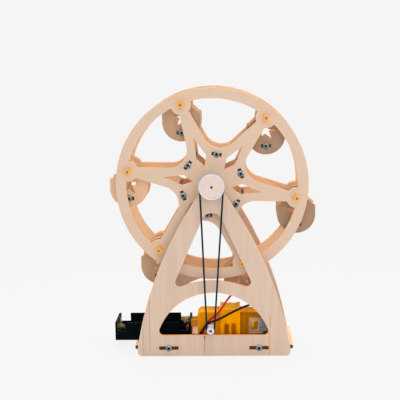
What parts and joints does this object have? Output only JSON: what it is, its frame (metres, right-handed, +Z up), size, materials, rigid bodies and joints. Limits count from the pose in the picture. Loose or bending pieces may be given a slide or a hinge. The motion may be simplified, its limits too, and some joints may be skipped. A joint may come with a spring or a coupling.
{
  "type": "crank ferris wheel toy",
  "caption": "Desk-top plywood ferris wheel kit: hanging cabins on a spoked wheel between two A-frames, turned by a geared motor through a round rubber belt.",
  "frame": {"origin": "on the floor below the wheel's axle, half way between the two A-frames", "axes": "+Z up; -Y towards the side with the belt and pulleys; +X to the right seen from that side, away from the battery holder; the wheel and the cabins turn about Y"},
  "size_m": [0.161, 0.0738, 0.2095],
  "materials": {
    "ply": "laser-cut birch plywood, bare",
    "cabin_ply": "laser-cut birch plywood, bare",
    "zinc_steel": "zinc plated",
    "rod_steel": "drawn rod",
    "cap_orange": "soft satin plastic",
    "sleeve_white": "moulded",
    "pulley_white": "moulded, slightly translucent",
    "belt_rubber": "round cord",
    "gearbox_yellow": "moulded, satin",
    "gear_white": "moulded nylon",
    "can_steel": "drawn steel",
    "end_cap_white": "moulded",
    "strap_clear": "clear",
    "holder_black": "moulded",
    "contact_steel": "nickel plated",
    "lead_red": "insulated wire",
    "lead_black": "insulated wire"
  },
  "bodies": {
    "stand": {"base_plate": "ply", "front_frame": "ply", "rear_frame": "ply", "base_fasteners": "zinc_steel", "drive_belt": "belt_rubber", "gearbox_front_shell": "gearbox_yellow", "gearbox_rear_shell": "gearbox_yellow", "gearbox_screws": "zinc_steel", "motor_can": "can_steel", "motor_end_cap": "end_cap_white", "motor_strap": "strap_clear", "motor_bracket": "gearbox_yellow", "battery_holder": "holder_black", "battery_contacts": "contact_steel", "red_lead": "lead_red", "black_lead": "lead_black"},
    "wheel": {"wheel_front_plate": "ply", "wheel_rear_plate": "ply", "wheel_braces": "ply", "wheel_bolts": "zinc_steel", "main_axle": "rod_steel", "wheel_pulley": "pulley_white", "axle_sleeves": "sleeve_white"},
    "drive": {"output_shaft": "gear_white", "output_gear": "gear_white", "drive_pulley": "pulley_white", "pulley_screw": "zinc_steel"},
    "idler": {"idler_gear": "gear_white"},
    "crown": {"crown_gear": "gear_white"},
    "rotor": {"motor_rotor": "can_steel"},
    "cabin_1_rod": {"cabin_1_shaft": "cap_orange"},
    "cabin_1": {"cabin_1_front_panel": "cabin_ply", "cabin_1_rear_panel": "cabin_ply", "cabin_1_seat": "cabin_ply", "cabin_1_bolts": "zinc_steel"},
    "cabin_2_rod": {"cabin_2_shaft": "cap_orange"},
    "cabin_2": {"cabin_2_front_panel": "cabin_ply", "cabin_2_rear_panel": "cabin_ply", "cabin_2_seat": "cabin_ply", "cabin_2_bolts": "zinc_steel"},
    "cabin_3_rod": {"cabin_3_shaft": "cap_orange"},
    "cabin_3": {"cabin_3_front_panel": "cabin_ply", "cabin_3_rear_panel": "cabin_ply", "cabin_3_seat": "cabin_ply", "cabin_3_bolts": "zinc_steel"},
    "cabin_4_rod": {"cabin_4_shaft": "cap_orange"},
    "cabin_4": {"cabin_4_front_panel": "cabin_ply", "cabin_4_rear_panel": "cabin_ply", "cabin_4_seat": "cabin_ply", "cabin_4_bolts": "zinc_steel"},
    "cabin_5_rod": {"cabin_5_shaft": "cap_orange"},
    "cabin_5": {"cabin_5_front_panel": "cabin_ply", "cabin_5_rear_panel": "cabin_ply", "cabin_5_seat": "cabin_ply", "cabin_5_bolts": "zinc_steel"},
    "cabin_6_rod": {"cabin_6_shaft": "cap_orange"},
    "cabin_6": {"cabin_6_front_panel": "cabin_ply", "cabin_6_rear_panel": "cabin_ply", "cabin_6_seat": "cabin_ply", "cabin_6_bolts": "zinc_steel"}
  },
  "joints": [
    {"name": "wheel_spin", "type": "hinge", "parent": "stand", "child": "wheel", "pos_m": [0, 0, 0.13455], "axis": [0, 1, 0], "continuous": true},
    {"name": "drive_spin", "type": "hinge", "parent": "stand", "child": "drive", "pos_m": [-0.0022, 0, 0.022], "axis": [0, 1, 0], "continuous": true},
    {"name": "idler_spin", "type": "hinge", "parent": "stand", "child": "idler", "pos_m": [0.0074, -0.0121, 0.022], "axis": [0, 1, 0], "continuous": true},
    {"name": "crown_spin", "type": "hinge", "parent": "stand", "child": "crown", "pos_m": [0.017, -0.0121, 0.022], "axis": [0, 1, 0], "continuous": true},
    {"name": "rotor_spin", "type": "hinge", "parent": "stand", "child": "rotor", "pos_m": [0.04, -0.0121, 0.022], "axis": [1, 0, 0], "continuous": true},
    {"name": "cabin_1_turn", "type": "hinge", "parent": "wheel", "child": "cabin_1", "pos_m": [0.06549, 0, 0.12359], "axis": [0, 1, 0], "continuous": true},
    {"name": "cabin_1_rod_turn", "type": "hinge", "parent": "wheel", "child": "cabin_1_rod", "pos_m": [0.06549, 0, 0.12359], "axis": [0, 1, 0], "continuous": true},
    {"name": "cabin_2_turn", "type": "hinge", "parent": "wheel", "child": "cabin_2", "pos_m": [0.04224, 0, 0.18579], "axis": [0, 1, 0], "continuous": true},
    {"name": "cabin_2_rod_turn", "type": "hinge", "parent": "wheel", "child": "cabin_2_rod", "pos_m": [0.04224, 0, 0.18579], "axis": [0, 1, 0], "continuous": true},
    {"name": "cabin_3_turn", "type": "hinge", "parent": "wheel", "child": "cabin_3", "pos_m": [-0.02325, 0, 0.19675], "axis": [0, 1, 0], "continuous": true},
    {"name": "cabin_3_rod_turn", "type": "hinge", "parent": "wheel", "child": "cabin_3_rod", "pos_m": [-0.02325, 0, 0.19675], "axis": [0, 1, 0], "continuous": true},
    {"name": "cabin_4_turn", "type": "hinge", "parent": "wheel", "child": "cabin_4", "pos_m": [-0.06549, 0, 0.14551], "axis": [0, 1, 0], "continuous": true},
    {"name": "cabin_4_rod_turn", "type": "hinge", "parent": "wheel", "child": "cabin_4_rod", "pos_m": [-0.06549, 0, 0.14551], "axis": [0, 1, 0], "continuous": true},
    {"name": "cabin_5_turn", "type": "hinge", "parent": "wheel", "child": "cabin_5", "pos_m": [-0.04224, 0, 0.08331], "axis": [0, 1, 0], "continuous": true},
    {"name": "cabin_5_rod_turn", "type": "hinge", "parent": "wheel", "child": "cabin_5_rod", "pos_m": [-0.04224, 0, 0.08331], "axis": [0, 1, 0], "continuous": true},
    {"name": "cabin_6_turn", "type": "hinge", "parent": "wheel", "child": "cabin_6", "pos_m": [0.02325, 0, 0.07236], "axis": [0, 1, 0], "continuous": true},
    {"name": "cabin_6_rod_turn", "type": "hinge", "parent": "wheel", "child": "cabin_6_rod", "pos_m": [0.02325, 0, 0.07236], "axis": [0, 1, 0], "continuous": true}
  ],
  "couplings": [
    {"joint": "drive_spin", "follows": "wheel_spin", "ratio": 3.1207},
    {"joint": "idler_spin", "follows": "wheel_spin", "ratio": -9.3621},
    {"joint": "crown_spin", "follows": "wheel_spin", "ratio": 28.086},
    {"joint": "rotor_spin", "follows": "wheel_spin", "ratio": 119.37},
    {"joint": "cabin_1_turn", "follows": "wheel_spin", "ratio": -1},
    {"joint": "cabin_2_turn", "follows": "wheel_spin", "ratio": -1},
    {"joint": "cabin_3_turn", "follows": "wheel_spin", "ratio": -1},
    {"joint": "cabin_4_turn", "follows": "wheel_spin", "ratio": -1},
    {"joint": "cabin_5_turn", "follows": "wheel_spin", "ratio": -1},
    {"joint": "cabin_6_turn", "follows": "wheel_spin", "ratio": -1}
  ]
}
